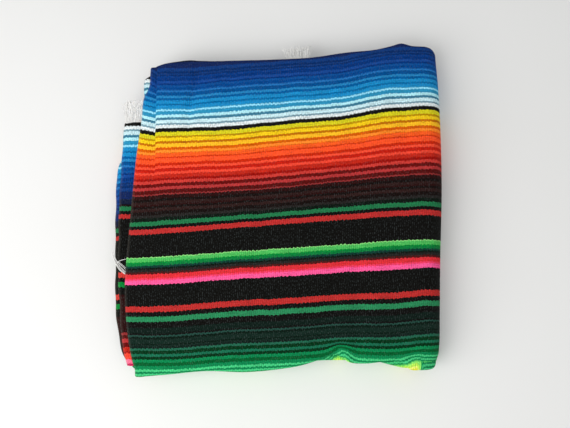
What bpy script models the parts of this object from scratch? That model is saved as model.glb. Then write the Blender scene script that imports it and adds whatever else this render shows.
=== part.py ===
"""A folded serape blanket, lying flat: one striped cloth, folded lengthwise into a bundle and then twice
across, so that it has four packs of cloth, a round spine on the right and open leaves on the left.
Metres, +Z up. X runs along the stripes, Y towards the back fold."""

import math

import bmesh
import bpy
from mathutils import Vector

# Driving dimensions
HEIGHT = 0.054
WALL = 0.0020
GAP = 0.0003
SPINE_REACH = 0.021
LEFT_FOLD_REACH = 0.011
LIP_REACH = 0.008
LEAF_COUNT = 9
RECESS_AT = 0.11
CENTRE = (-0.00043, 0.01572)

# Plan outline of the packet, before it is centred: each row is a place along the edge
BACK_EDGE = (  # x, y
    (-0.164, 0.189), (-0.150, 0.194), (-0.125, 0.1975), (-0.103, 0.196), (-0.083, 0.196),
    (-0.005, 0.198), (0.040, 0.201), (0.078, 0.207), (0.117, 0.211), (0.142, 0.217),
    (0.154, 0.2205), (0.168, 0.2175), (0.181, 0.217),
)
FRONT_EDGE = (  # x, y
    (-0.165, -0.195), (-0.133, -0.192), (-0.085, -0.188), (-0.033, -0.189), (0.025, -0.183),
    (0.058, -0.174), (0.074, -0.169), (0.090, -0.178), (0.110, -0.1795), (0.130, -0.1775),
    (0.143, -0.1765), (0.155, -0.179), (0.168, -0.1865), (0.181, -0.187),
)
# The lower packs' outline, without the pinches of the top
PLAIN_FRONT = (  # x, y
    (-0.175, -0.1900), (-0.020, -0.1880), (0.014, -0.1838), (0.037, -0.1797), (0.066, -0.1775),
    (0.125, -0.1790), (0.145, -0.1830), (0.163, -0.1865), (0.181, -0.1870),
)
PLAIN_BACK = ((-0.175, 0.190), (0.181, 0.212))  # x, y
NOMINAL_LEFT = -0.175
NOMINAL_RIGHT = 0.181
NOMINAL_TOE = (-0.137, -0.178)

RIGHT_EDGE = (  # y, x
    (-0.189, 0.1805), (-0.179, 0.1870), (-0.165, 0.1915), (-0.118, 0.194), (-0.057, 0.197), (0.017, 0.202),
    (0.069, 0.204), (0.161, 0.205), (0.202, 0.204),
)
TOP_SELVEDGE = (  # y, x
    (-0.193, -0.164), (-0.170, -0.171), (-0.136, -0.177), (-0.083, -0.181), (-0.011, -0.178),
    (0.064, -0.174), (0.115, -0.170), (0.144, -0.169), (0.161, -0.163), (0.178, -0.163),
)
LEFT_FOLD = (  # y, x
    (-0.189, -0.176), (-0.120, -0.192), (0.000, -0.197), (0.060, -0.196), (0.110, -0.187),
    (0.145, -0.171), (0.185, -0.160),
)

# How far the top drops from its crown, along X and along Y
DROP_ALONG_X = (  # x, drop
    (-0.205, 0.0085), (-0.178, 0.0060), (-0.140, 0.0030), (-0.090, 0.0008), (0.000, 0.0),
    (0.110, 0.0005), (0.150, 0.0015), (0.185, 0.0035),
)
DROP_ALONG_Y = (  # place from the front lip, 0, to the back lip, 1, and drop
    (0.0, 0.0065), (0.07, 0.0040), (0.20, 0.0010), (0.40, 0.0), (0.70, 0.0006),
    (0.82, 0.0030), (1.0, 0.0110),
)

# Soft creases of the top, which run from front to back. Places are fractions of the top's width and depth
TUCK_AT = 0.045
CREASE_FADE = 0.12
CREASES = (  # across, half width, front end, back end, depth
    (TUCK_AT, 0.020, 0.50, 1.00, 0.0016),
    (0.170, 0.025, 0.72, 1.00, 0.0022),
    (0.430, 0.025, 0.10, 0.70, 0.0011),
    (0.770, 0.035, 0.00, 0.45, 0.0020),
)

# Grid stations shared by every surface
TOP_STATIONS = (
    0.0, 0.025, 0.045, 0.065, 0.11, 0.145, 0.17, 0.195, 0.25, 0.31, 0.37, 0.405, 0.43, 0.455,
    0.51, 0.57, 0.63, 0.69, 0.735, 0.77, 0.805, 0.85, 0.90, 0.95, 1.0,
)
DEPTH_STATIONS = (0.0, 0.07, 0.18, 0.32, 0.48, 0.64, 0.76, 0.86, 0.94, 1.0)
LIP_ANGLES = (0, 35, 70, 105, 150)
INNER_ANGLES = (15, 45, 80, 115, 165)
SPINE_STEPS = 8
LEFT_STEPS = 6
TOE_STATIONS = (0.0, 0.5, 1.0)
TOE_STEP = 0.0015

# How far each pack's rolled edge lies inside the outline
INSET_TOP_OUTER = 0.0
INSET_TOP_INNER = 0.0020
INSET_BOTTOM_INNER = 0.0005
INSET_BOTTOM_OUTER = 0.0025
GROOVE_REACH = 0.0005
UPPER_LEAF_REACH = 0.5

# The leaves of the open side, from the lowest up, with their selvedges
LOW_LEAF_EDGE = (  # y, x
    (-0.181, -0.179), (-0.167, -0.187), (-0.141, -0.193), (-0.106, -0.197), (-0.057, -0.1995),
    (0.011, -0.2025), (0.050, -0.2030), (0.064, -0.2000), (0.080, -0.190), (0.110, -0.183),
    (0.145, -0.167), (0.180, -0.158),
)
END_LEAF_EDGE = (  # y, x
    (-0.182, -0.178), (-0.150, -0.186), (-0.106, -0.190), (-0.040, -0.1945), (0.060, -0.1955),
    (0.116, -0.1945),
)
HOOK_LEAF_EDGE = (  # y, x
    (-0.185, -0.162), (-0.120, -0.174), (0.000, -0.172), (0.100, -0.166), (0.140, -0.167),
    (0.158, -0.171), (0.171, -0.1715), (0.178, -0.162),
)
UNDER_LEAF_EDGE = (  # y, x
    (-0.185, -0.174), (-0.150, -0.181), (-0.100, -0.185), (0.000, -0.188), (0.060, -0.186),
    (0.100, -0.180), (0.130, -0.170), (0.160, -0.160), (0.185, -0.154),
)
LEAVES = (  # name, selvedge, moved inwards, back end
    ("low_leaf", LOW_LEAF_EDGE, 0.0, 1.0),
    ("under_leaf_1", UNDER_LEAF_EDGE, -0.0020, 1.0),
    ("under_leaf_2", UNDER_LEAF_EDGE, 0.0035, 1.0),
    ("under_leaf_3", UNDER_LEAF_EDGE, 0.0005, 1.0),
    ("end_leaf", END_LEAF_EDGE, 0.0, 0.116),
    ("under_leaf_4", TOP_SELVEDGE, 0.0060, 1.0),
    ("under_leaf_5", TOP_SELVEDGE, 0.0015, 1.0),
    ("under_leaf_6", TOP_SELVEDGE, 0.0080, 1.0),
    ("hook_leaf", HOOK_LEAF_EDGE, 0.0, 1.0),
)
LEAF_FRONT = -0.1825
LEAF_CLEARANCE = 0.0018
LEAF_ROWS_BETWEEN = 2
LEAST_ROW = 0.002
LEAF_COLUMNS = 2

# Fringe: warp ends, each strand three-sided and rooted in a narrow strip of the weave
STRAND_RADIUS = 0.0007
STRAND_TAPER = 0.45
STRAND_RINGS = 6
STRIP_DEPTH = 0.0030
ROOT_DEPTH = 0.0012
END_FRINGE = {
    "from_x": -0.1930, "to_x": -0.1600, "y": 0.1163, "count": 16, "length": 0.026,
    "uneven": 0.25, "cycle": 2.4, "lean_left": -0.0015, "lean_right": 0.0080,
    "fall": 0.0030, "level_beyond": 0.4,
}
BACK_FRINGE = {
    "from_x": 0.0140, "to_x": 0.0370, "in_groove": 0.0035, "count": 9, "length": 0.024,
    "uneven": 0.22, "cycle": 2.1, "lean_left": -0.0060, "lean_right": 0.0040,
    "fall": 0.0085, "beside": 0.0014, "shallow": 0.0103, "deep": 0.0119,
}
SIDE_THREADS = (  # root y, tip x, tip y, bow
    (-0.0785, -0.2024, -0.0483, 0.0048),
    (-0.0740, -0.1905, -0.0632, -0.0007),
    (-0.0560, -0.1939, -0.0612, -0.0008),
)
SIDE_STRIP = {"front_y": -0.0810, "back_y": -0.0535, "inner": 0.0004, "outer": 0.0024}


def smooth_step(value):
    value = min(max(value, 0.0), 1.0)
    return value * value * (3.0 - 2.0 * value)


def mix(low, high, share):
    return low + (high - low) * share


def along(rows, place):
    """The smooth curve through the rows, read at a place of their first column."""
    if place <= rows[0][0]:
        return rows[0][1]
    if place >= rows[-1][0]:
        return rows[-1][1]
    after = next(i for i, row in enumerate(rows) if row[0] > place)
    (x0, y0), (x1, y1) = rows[after - 1], rows[after]
    before_row = rows[max(after - 2, 0)]
    next_row = rows[min(after + 1, len(rows) - 1)]
    slope_in = (y1 - before_row[1]) / (x1 - before_row[0])
    slope_out = (next_row[1] - y0) / (next_row[0] - x0)
    run = x1 - x0
    share = (place - x0) / run
    square, cube = share * share, share ** 3
    return (
        (2 * cube - 3 * square + 1) * y0
        + (cube - 2 * square + share) * run * slope_in
        + (3 * square - 2 * cube) * y1
        + (cube - square) * run * slope_out
    )


def crease_drop(across, place):
    """How far the creases lower the top at a fraction of its width and depth."""
    drop = 0.0
    for centre, half_width, front, back, depth in CREASES:
        beside = 1.0 - abs(across - centre) / half_width
        fade_in = smooth_step((place - front) / CREASE_FADE + 0.5)
        fade_out = smooth_step((back - place) / CREASE_FADE + 0.5)
        drop += depth * smooth_step(beside) * fade_in * fade_out
    return drop


class Column:
    """An upright line through the packet at a fraction across it: where its front and back lips are
    centred, and how high the packet is at each place between them."""

    def __init__(self, across):
        self.across = across
        self.nominal_x = mix(NOMINAL_LEFT, NOMINAL_RIGHT, across)
        self.front_lip = along(FRONT_EDGE, self.nominal_x) + LIP_REACH
        self.back_lip = along(BACK_EDGE, self.nominal_x) - LIP_REACH

    def y(self, place):
        return mix(self.front_lip, self.back_lip, place)

    def x(self, y):
        left = along(TOP_SELVEDGE, y)
        right = along(RIGHT_EDGE, y) - SPINE_REACH
        return mix(left, right, self.across)

    def height(self, x, y):
        place = (y - self.front_lip) / (self.back_lip - self.front_lip)
        place = min(max(place, 0.0), 1.0)
        drop = along(DROP_ALONG_X, x) + along(DROP_ALONG_Y, place)
        return HEIGHT - drop - crease_drop(self.across, place)


class ToeColumn(Column):
    """A column of the lower packs where they run out under the leaves, to the fold on the left."""

    def __init__(self, share):
        super().__init__(RECESS_AT)
        self.share = share
        self.nominal_x = mix(*NOMINAL_TOE, share)
        self.front_lip = along(FRONT_EDGE, self.nominal_x) + LIP_REACH
        self.back_lip = along(BACK_EDGE, self.nominal_x) - LIP_REACH

    def x(self, y):
        left = along(LEFT_FOLD, y) + LEFT_FOLD_REACH
        return mix(Column(RECESS_AT).x(y) - TOE_STEP, left, self.share)


def plain_edges(column):
    """The lip centres of the lower packs, which lack the pinches of the top."""
    front, back = along(PLAIN_FRONT, column.nominal_x), along(PLAIN_BACK, column.nominal_x)
    return front + LIP_REACH, back - LIP_REACH


def lip_centre(column, side, lowered, inset):
    """Y of a lip's centre. side is -1 at the front and 1 at the back, lowered runs from 0 at the top
    of the packet to 1 at the bottom."""
    top = column.front_lip if side < 0 else column.back_lip
    bottom = plain_edges(column)[0 if side < 0 else 1]
    return mix(top, bottom, smooth_step(lowered)) - side * inset


class Station:
    """A place on the path that the cloth takes round the packet. run is top, spine, bottom, left or
    inner, and turn is the angle round a fold, from 0 where the cloth enters it to 180."""

    def __init__(self, run, column, turn=0.0):
        self.run = run
        self.column = column
        self.turn = math.radians(turn)
        share = {"top": 0.0, "bottom": 1.0, "left": 1.0, "inner": 1.0}.get(run)
        self.lowered = (1.0 - math.cos(self.turn)) / 2 if share is None else share

    def pack(self, y):
        """A pack's thickness here: a quarter of the packet's height."""
        return self.column.height(self.column.x(y), y) / 4

    def point(self, y, depth, flat_y=None):
        """The point at a depth under the cloth's outer face."""
        flat_y = y if flat_y is None else flat_y
        x = self.column.x(flat_y)
        height = self.column.height(x, flat_y)
        if self.run == "top":
            return Vector((x, y, height - depth))
        if self.run == "bottom":
            return Vector((x, y, depth))
        if self.run == "inner":
            return Vector((x, y, height / 2 - depth))
        if self.run == "spine":
            share = 1.0 - depth / (height / 2)
            out = SPINE_REACH * share * math.sin(self.turn)
            return Vector((x + out, y, height / 2 * (1.0 + share * math.cos(self.turn))))
        share = 1.0 - depth / (height / 4)
        out = LEFT_FOLD_REACH * share * math.sin(self.turn)
        return Vector((x - out, y, height / 4 * (1.0 - share * math.cos(self.turn))))

    def flat(self, place, depth):
        front = lip_centre(self.column, -1, self.lowered, self.outer_inset())
        back = lip_centre(self.column, 1, self.lowered, self.outer_inset())
        return self.point(mix(front, back, place), depth)

    def outer_inset(self):
        return mix(INSET_TOP_OUTER, INSET_BOTTOM_OUTER, self.lowered)

    def inner_inset(self):
        return mix(INSET_TOP_INNER, INSET_BOTTOM_INNER, self.lowered)

    def lip(self, side, angle, depth):
        """A point of the outer pack's rolled edge."""
        centre = lip_centre(self.column, side, self.lowered, self.outer_inset())
        radius = self.pack(centre) / 2
        angle = math.radians(angle)
        inward = radius - (radius - depth) * math.cos(angle)
        return self.point(centre + side * (LIP_REACH - depth) * math.sin(angle), inward, centre)

    def groove(self, side):
        centre = lip_centre(self.column, side, self.lowered, self.outer_inset())
        return self.point(centre + side * GROOVE_REACH, self.pack(centre), centre)

    def inner_lip(self, side, angle, depth=0.0):
        """A point of the inner pack's rolled edge, whose last row is the packet's middle."""
        inset = self.inner_inset()
        middle = angle == INNER_ANGLES[-1]
        lowered = 0.5 if middle else self.lowered
        if middle:
            inset = (INSET_TOP_INNER + INSET_BOTTOM_INNER) / 2
        outer_centre = lip_centre(self.column, side, self.lowered, self.outer_inset())
        centre = lip_centre(self.column, side, lowered, inset)
        if middle:
            outer_centre = centre
        pack = self.pack(outer_centre)
        radius = pack / 2
        turned = math.radians(angle)
        inward = pack + radius - (radius - depth) * math.cos(turned)
        if middle:
            inward = 2 * pack
        reach = (LIP_REACH - depth) * math.sin(turned)
        return self.point(centre + side * reach, inward, outer_centre)


def path_round_packet():
    """The stations of the outer cloth: over the top, round the spine, back along the bottom, round
    the left fold and in between the packs."""
    columns = [Column(across) for across in TOP_STATIONS]
    kept = [column for column in columns if column.across >= RECESS_AT]
    toes = [ToeColumn(share) for share in TOE_STATIONS]
    path = [Station("top", column) for column in columns]
    for step in range(1, SPINE_STEPS):
        path.append(Station("spine", columns[-1], 180.0 * step / SPINE_STEPS))
    path += [Station("bottom", column) for column in reversed(kept)]
    path += [Station("bottom", toe) for toe in toes]
    for step in range(1, LEFT_STEPS):
        path.append(Station("left", toes[-1], 180.0 * step / LEFT_STEPS))
    path += [Station("inner", toe) for toe in reversed(toes)]
    return path


def section(station, depth):
    """The points across the outer cloth at a depth, from the front lip's end to the back lip's end."""
    front = [station.lip(-1, angle, depth) for angle in reversed(LIP_ANGLES[1:])]
    flat = [station.flat(place, depth) for place in DEPTH_STATIONS]
    back = [station.lip(1, angle, depth) for angle in LIP_ANGLES[1:]]
    return front + flat + back


def add_patch(mesh, rows):
    """Quads between rows of points. Points that meet are merged when the mesh is finished."""
    grid = [[mesh.verts.new(point) for point in row] for row in rows]
    for first, second in zip(grid, grid[1:]):
        for a, b, c, d in zip(first, first[1:], second[1:], second):
            mesh.faces.new((a, b, c, d))


def add_node(name, mesh, material):
    bmesh.ops.remove_doubles(mesh, verts=mesh.verts, dist=1e-6)
    bmesh.ops.dissolve_degenerate(mesh, edges=mesh.edges, dist=1e-6)
    bmesh.ops.recalc_face_normals(mesh, faces=mesh.faces)
    bmesh.ops.triangulate(mesh, faces=mesh.faces, quad_method="FIXED")
    bmesh.ops.translate(mesh, verts=mesh.verts, vec=(-CENTRE[0], -CENTRE[1], 0.0))
    data = bpy.data.meshes.new(name)
    mesh.to_mesh(data)
    mesh.free()
    data.shade_smooth()
    data.set_sharp_from_angle(angle=math.radians(40))
    data.materials.append(material)
    node = bpy.data.objects.new(name, data)
    bpy.context.scene.collection.objects.link(node)
    return node


def cloth_material(name, colour):
    material = bpy.data.materials.new(name)
    material.use_nodes = True
    shader = material.node_tree.nodes["Principled BSDF"]
    shader.inputs["Base Color"].default_value = (*colour, 1.0)
    shader.inputs["Roughness"].default_value = 0.95
    shader.inputs["Metallic"].default_value = 0.0
    return material


def build_outer_layer(material):
    """A wall of cloth: an outer and an inner face, joined round their rim."""
    path = path_round_packet()
    outside = [section(station, 0.0) for station in path]
    inside = [section(station, WALL) for station in path]
    mesh = bmesh.new()
    add_patch(mesh, outside)
    add_patch(mesh, inside)
    add_patch(mesh, [outside[0], inside[0]])
    add_patch(mesh, [outside[-1], inside[-1]])
    for end in (0, -1):
        add_patch(mesh, [[row[end] for row in outside], [row[end] for row in inside]])
    return add_node("outer_layer", mesh, material)


def build_folded_layers(material):
    """The hidden layers: a solid inside the outer wall, whose inner packs show at the front and back."""
    under = WALL + GAP
    path = [station for station in path_round_packet() if station.column.across >= RECESS_AT]
    toe_start = next(i for i, station in enumerate(path) if isinstance(station.column, ToeColumn))
    main = path[:toe_start]
    last = main[-1]
    mesh = bmesh.new()

    middle_row = []
    for place in DEPTH_STATIONS:
        front = last.inner_lip(-1, INNER_ANGLES[-1])
        back = last.inner_lip(1, INNER_ANGLES[-1])
        y = mix(front.y, back.y, place)
        x = last.column.x(y)
        middle_row.append(Vector((x, y, last.column.height(x, y) / 2)))
    middle_row[0], middle_row[-1] = front, back

    shells = [section(station, under) for station in path]
    end_front = [last.inner_lip(-1, angle) for angle in INNER_ANGLES[:-1]]
    end_back = [last.inner_lip(1, angle) for angle in reversed(INNER_ANGLES[:-1])]
    add_patch(mesh, shells + [end_front + middle_row + end_back])

    for side, end in ((-1, 0), (1, -1)):
        rim = [shell[end] for shell in shells]
        grooves = [station.groove(side) for station in path]
        rim.append(last.inner_lip(side, INNER_ANGLES[0]))
        grooves.append(last.groove(side))
        add_patch(mesh, [rim, grooves])
        rows = [[station.groove(side) for station in main]]
        for angle in INNER_ANGLES:
            rows.append([station.inner_lip(side, angle) for station in main])
        add_patch(mesh, rows)

    add_patch(mesh, recess_wall(main[0], under, middle_row))
    return add_node("folded_layers", mesh, material)


def recess_wall(station, under, middle_row):
    """The upright face of the upper packs behind the leaves, a row for each level from the top."""
    rows = []
    flat = [station.flat(place, under) for place in DEPTH_STATIONS]
    levels = [("lip", angle) for angle in LIP_ANGLES] + [("groove", 0)]
    levels += [("inner", angle) for angle in INNER_ANGLES[:-1]]
    for kind, angle in levels:
        ends = []
        for side in (-1, 1):
            if kind == "lip":
                ends.append(station.lip(side, angle, under))
            elif kind == "groove":
                ends.append(station.groove(side))
            else:
                ends.append(station.inner_lip(side, angle))
        row = [ends[0]]
        for at in flat[1:-1]:
            row.append(level_point(station, at.y, ends))
        row.append(ends[1])
        rows.append(row)
    rows[0] = flat
    rows.append(middle_row)
    return rows


def level_point(station, y, ends):
    """A point of the recess wall between the two ends of a level."""
    front_height = station.column.height(station.column.x(ends[0].y), ends[0].y)
    back_height = station.column.height(station.column.x(ends[1].y), ends[1].y)
    fraction = (ends[0].z / front_height + ends[1].z / back_height) / 2
    x = station.column.x(y)
    return Vector((x, y, station.column.height(x, y) * fraction))


def between_stations(column, y, value):
    """A value that depends on the place from front to back, straight between the shared stations."""
    place = (y - column.front_lip) / (column.back_lip - column.front_lip)
    place = min(max(place, 0.0), 1.0)
    after = next((i for i, at in enumerate(DEPTH_STATIONS) if at > place), len(DEPTH_STATIONS) - 1)
    low, high = DEPTH_STATIONS[after - 1], DEPTH_STATIONS[after]
    return mix(value(low), value(high), (place - low) / (high - low))


def grid_height(column, x, y):
    """The packet's height on the grid that the panels share."""
    return between_stations(column, y, lambda place: column.height(x, column.y(place)))


def tuck_drop(column, y):
    """How far the tuck of the top panel presses the leaves under it down."""
    return between_stations(column, y, lambda place: crease_drop(TUCK_AT, place))


def leaf_level(column, y, x, level):
    """Bottom and top of a leaf's wall at a place: the leaves share the height between the lower packs
    and the top panel."""
    height = grid_height(column, x, y) - tuck_drop(column, y)
    bottom = grid_height(column, x, y) / 2 + 2 * GAP
    pitch = (height - WALL - 2 * GAP - bottom) / LEAF_COUNT
    low = bottom + pitch * level
    return low, low + pitch - GAP


def leaf_places(column, front_y, back_y):
    """Y of a leaf's rows: its two ends and the shared stations between, each stretch divided."""
    places = [front_y]
    for low, high in zip(DEPTH_STATIONS, DEPTH_STATIONS[1:]):
        for step in range(LEAF_ROWS_BETWEEN):
            places.append(column.y(mix(low, high, step / LEAF_ROWS_BETWEEN)))
    kept = [y for y in places if front_y + LEAST_ROW < y < back_y - LEAST_ROW]
    return [front_y] + kept + [back_y]


def leaf_end(side, level):
    """Y where a leaf ends at the front or back, so that the leaves of a pack round off together."""
    centres = [lip_centre(Column(across), side, 0.0, INSET_TOP_INNER) for across in (0.0, RECESS_AT)]
    centre = min(centres, key=abs)
    share = (level + 0.5) / LEAF_COUNT * 2.0
    in_pack = share % 1.0
    reach = LIP_REACH * math.sqrt(max(0.0, 1.0 - (2.0 * in_pack - 1.0) ** 2))
    if share > 1.0:
        reach = max(reach - WALL - 2 * GAP, 0.0) * UPPER_LEAF_REACH
    return centre + side * reach


def build_leaf(level, name, edge, inward, back, material):
    front_y = max(leaf_end(-1, level), LEAF_FRONT)
    back_y = min(leaf_end(1, level), back)
    column = Column(RECESS_AT)
    low_rows, high_rows = [], []
    for y in leaf_places(column, front_y, back_y):
        inner_x = column.x(min(max(y, column.front_lip), column.back_lip)) - LEAF_CLEARANCE
        outer_x = along(edge, y) + inward
        lows, highs = [], []
        for step in range(LEAF_COLUMNS + 1):
            x = mix(inner_x, outer_x, step / LEAF_COLUMNS)
            low, high = leaf_level(column, y, x, level)
            lows.append(Vector((x, y, low)))
            highs.append(Vector((x, y, high)))
        low_rows.append(lows)
        high_rows.append(highs)
    return add_node(name, closed_wall(low_rows, high_rows), material)


def closed_wall(low_rows, high_rows):
    """A wall between two grids of points."""
    mesh = bmesh.new()
    add_patch(mesh, low_rows)
    add_patch(mesh, high_rows)
    add_patch(mesh, [low_rows[0], high_rows[0]])
    add_patch(mesh, [low_rows[-1], high_rows[-1]])
    for end in (0, -1):
        add_patch(mesh, [[row[end] for row in low_rows], [row[end] for row in high_rows]])
    return mesh


def add_strand(mesh, root, tip, fall, bow=0.0):
    """A three-sided strand that bows to its side and falls towards its tip."""
    rings = []
    run = tip - root
    beside = Vector((-run.y, run.x, 0.0)).normalized()
    for ring in range(STRAND_RINGS + 1):
        share = ring / STRAND_RINGS
        middle = root + run * share - Vector((0.0, 0.0, fall * share * share))
        middle += beside * bow * math.sin(math.pi * share)
        radius = STRAND_RADIUS * (1.0 - STRAND_TAPER * share)
        points = []
        for corner in range(3):
            turn = math.radians(90.0 + 120.0 * corner)
            offset = beside * math.cos(turn) + Vector((0.0, 0.0, math.sin(turn)))
            points.append(mesh.verts.new(middle + offset * radius))
        rings.append(points)
    for first, second in zip(rings, rings[1:]):
        for corner in range(3):
            after = (corner + 1) % 3
            mesh.faces.new((first[corner], first[after], second[after], second[corner]))
    mesh.faces.new(rings[0])
    mesh.faces.new(rings[-1])


def strand_length(size, i):
    """The strands of a fringe differ in length."""
    return size["length"] * (1.0 + size["uneven"] * math.sin(size["cycle"] * i))


def add_fringe(name, strip, strands, material):
    """The strip with its strands joined to it."""
    node = add_node(name, strip, material)
    roots = add_node(f"{name}_strands", strands, material)
    roots.hide_render = True
    roots.display_type = "WIRE"
    union = node.modifiers.new("strands", "BOOLEAN")
    union.operation = "UNION"
    union.object = roots


def build_end_fringe(material):
    """Warp ends of the leaf whose end lies on the open side, in the slot that the leaf leaves."""
    size = END_FRINGE
    level = next(i for i, leaf in enumerate(LEAVES) if leaf[0] == "end_leaf")
    column = Column(RECESS_AT)
    near, far = size["y"], size["y"] + STRIP_DEPTH
    low_rows, high_rows = [], []
    for y in (near, far):
        lows, highs = [], []
        for step in range(LEAF_COLUMNS + 1):
            x = mix(size["to_x"], size["from_x"] - STRAND_RADIUS, step / LEAF_COLUMNS)
            low, high = leaf_level(column, y, x, level)
            lows.append(Vector((x, y, low)))
            highs.append(Vector((x, y, high)))
        low_rows.append(lows)
        high_rows.append(highs)
    strands = bmesh.new()
    for i in range(size["count"]):
        share = i / (size["count"] - 1)
        x = mix(size["from_x"], size["to_x"], share)
        low, high = leaf_level(column, far, x, level)
        root = Vector((x, far - ROOT_DEPTH, (low + high) / 2))
        length = strand_length(size, i)
        tip_x = x + mix(size["lean_left"], size["lean_right"], share)
        low, high = leaf_level(column, far + length, tip_x, level)
        tip = Vector((tip_x, far + length, (low + high) / 2))
        add_strand(strands, root, tip, size["fall"] * (1.0 - smooth_step(share / size["level_beyond"])))
    add_fringe("end_fringe", closed_wall(low_rows, high_rows), strands, material)


def build_back_fringe(material):
    """A tuft of the cloth's other end, which comes out between the two upper packs at the back."""
    size = BACK_FRINGE
    column = Column(RECESS_AT)
    strands = bmesh.new()
    low_rows, high_rows = [], []
    for i in range(size["count"]):
        share = i / (size["count"] - 1)
        x = mix(size["from_x"], size["to_x"], share)
        y = along(BACK_EDGE, x) - LIP_REACH + size["in_groove"]
        top = column.height(x, column.back_lip)
        if i in (0, size["count"] - 1):
            low_rows.append([Vector((x, y + d, top - size["deep"])) for d in (0.0, STRIP_DEPTH)])
            high_rows.append([Vector((x, y + d, top - size["shallow"])) for d in (0.0, STRIP_DEPTH)])
        if i == 0:
            continue
        level = top - (size["shallow"] + size["deep"]) / 2
        root = Vector((x - size["beside"], y + STRIP_DEPTH - ROOT_DEPTH, level))
        lean = mix(size["lean_left"], size["lean_right"], share)
        tip = root + Vector((lean, strand_length(size, i), 0.0))
        add_strand(strands, root, tip, size["fall"])
    add_fringe("back_fringe", closed_wall(low_rows, high_rows), strands, material)


def build_side_threads(material):
    """Loose warp ends that come out above the end leaf, beside the selvedge of the leaf on it."""
    size = SIDE_STRIP
    level = next(i for i, leaf in enumerate(LEAVES) if leaf[0] == "end_leaf") + 1
    _, selvedge, inward, _ = LEAVES[level]
    column = Column(RECESS_AT)
    low_rows, high_rows = [], []
    for y in (size["front_y"], size["back_y"]):
        edge = along(selvedge, y) + inward
        lows, highs = [], []
        for x in (edge - size["inner"], edge - size["outer"]):
            low, high = leaf_level(column, y, x, level)
            lows.append(Vector((x, y, low)))
            highs.append(Vector((x, y, high)))
        low_rows.append(lows)
        high_rows.append(highs)
    strands = bmesh.new()
    for root_y, tip_x, tip_y, bow in SIDE_THREADS:
        root_x = along(selvedge, root_y) + inward - size["outer"] + ROOT_DEPTH
        ends = []
        for x, y in ((root_x, root_y), (tip_x, tip_y)):
            low, high = leaf_level(column, y, x, level)
            ends.append(Vector((x, y, (low + high) / 2)))
        add_strand(strands, *ends, 0.0, bow)
    add_fringe("side_threads", closed_wall(low_rows, high_rows), strands, material)


def main():
    for old in list(bpy.data.objects):
        bpy.data.objects.remove(old)
    outer = cloth_material("outer_cloth", (0.022, 0.017, 0.018))
    inner = cloth_material("inner_cloth", (0.30, 0.035, 0.030))
    leaf = cloth_material("leaf_cloth", (0.02, 0.09, 0.30))
    build_outer_layer(outer)
    build_folded_layers(inner)
    for level, (name, edge, inward, back) in enumerate(LEAVES):
        build_leaf(level, name, edge, inward, back, leaf)
    fringe = cloth_material("fringe_yarn", (0.80, 0.78, 0.72))
    build_end_fringe(fringe)
    build_back_fringe(fringe)
    build_side_threads(fringe)


main()
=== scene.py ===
import math

import bmesh
import bpy
import numpy as np
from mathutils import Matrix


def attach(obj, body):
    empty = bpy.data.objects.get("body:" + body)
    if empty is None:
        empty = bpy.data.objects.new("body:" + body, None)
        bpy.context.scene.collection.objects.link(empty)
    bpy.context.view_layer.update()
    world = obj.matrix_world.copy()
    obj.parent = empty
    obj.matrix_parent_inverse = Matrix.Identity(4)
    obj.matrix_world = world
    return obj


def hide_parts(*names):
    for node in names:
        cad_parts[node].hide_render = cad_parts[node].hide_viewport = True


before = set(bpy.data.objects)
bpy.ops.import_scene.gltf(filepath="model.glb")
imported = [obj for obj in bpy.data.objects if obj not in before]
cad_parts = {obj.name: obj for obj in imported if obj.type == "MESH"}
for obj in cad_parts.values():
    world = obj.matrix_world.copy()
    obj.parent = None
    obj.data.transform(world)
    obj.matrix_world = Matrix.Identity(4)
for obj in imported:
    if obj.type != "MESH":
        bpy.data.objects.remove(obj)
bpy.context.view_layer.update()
print("frame loaded")

# the packet's sizes and outlines, in metres, before it is centred on the frame's origin
packet = {
    "height": 0.054,
    "wall": 0.0020,
    "gap": 0.0003,
    "spineReach": 0.021,
    "leftFoldReach": 0.011,
    "lipReach": 0.008,
    "leafCount": 9,
    "recessAt": 0.11,  # fraction of the top's width where the leaves begin
    "centre": (-0.00043, 0.01572),
    "nominalX": (-0.175, 0.181),
    "nominalToe": (-0.137, -0.178),
    "toeStep": 0.0015,
    "grooveReach": 0.0005,
    "insetTopInner": 0.0020,
    "insetBottomInner": 0.0005,
    "insetBottomOuter": 0.0025,
}
backEdge = (  # x, y
    (-0.164, 0.189), (-0.150, 0.194), (-0.125, 0.1975), (-0.103, 0.196), (-0.083, 0.196),
    (-0.005, 0.198), (0.040, 0.201), (0.078, 0.207), (0.117, 0.211), (0.142, 0.217),
    (0.154, 0.2205), (0.168, 0.2175), (0.181, 0.217),
)
frontEdge = (  # x, y
    (-0.165, -0.195), (-0.133, -0.192), (-0.085, -0.188), (-0.033, -0.189), (0.025, -0.183),
    (0.058, -0.174), (0.074, -0.169), (0.090, -0.178), (0.110, -0.1795), (0.130, -0.1775),
    (0.143, -0.1765), (0.155, -0.179), (0.168, -0.1865), (0.181, -0.187),
)
lowerFront = (  # x, y: the lower packs lack the pinches of the top
    (-0.175, -0.1900), (-0.020, -0.1880), (0.014, -0.1838), (0.037, -0.1797), (0.066, -0.1775),
    (0.125, -0.1790), (0.145, -0.1830), (0.163, -0.1865), (0.181, -0.1870),
)
lowerBack = ((-0.175, 0.190), (0.181, 0.212))  # x, y
rightEdge = (  # y, x
    (-0.189, 0.1805), (-0.179, 0.1870), (-0.165, 0.1915), (-0.118, 0.194), (-0.057, 0.197),
    (0.017, 0.202), (0.069, 0.204), (0.161, 0.205), (0.202, 0.204),
)
topSelvedge = (  # y, x
    (-0.193, -0.164), (-0.170, -0.171), (-0.136, -0.177), (-0.083, -0.181), (-0.011, -0.178),
    (0.064, -0.174), (0.115, -0.170), (0.144, -0.169), (0.161, -0.163), (0.178, -0.163),
)
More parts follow.
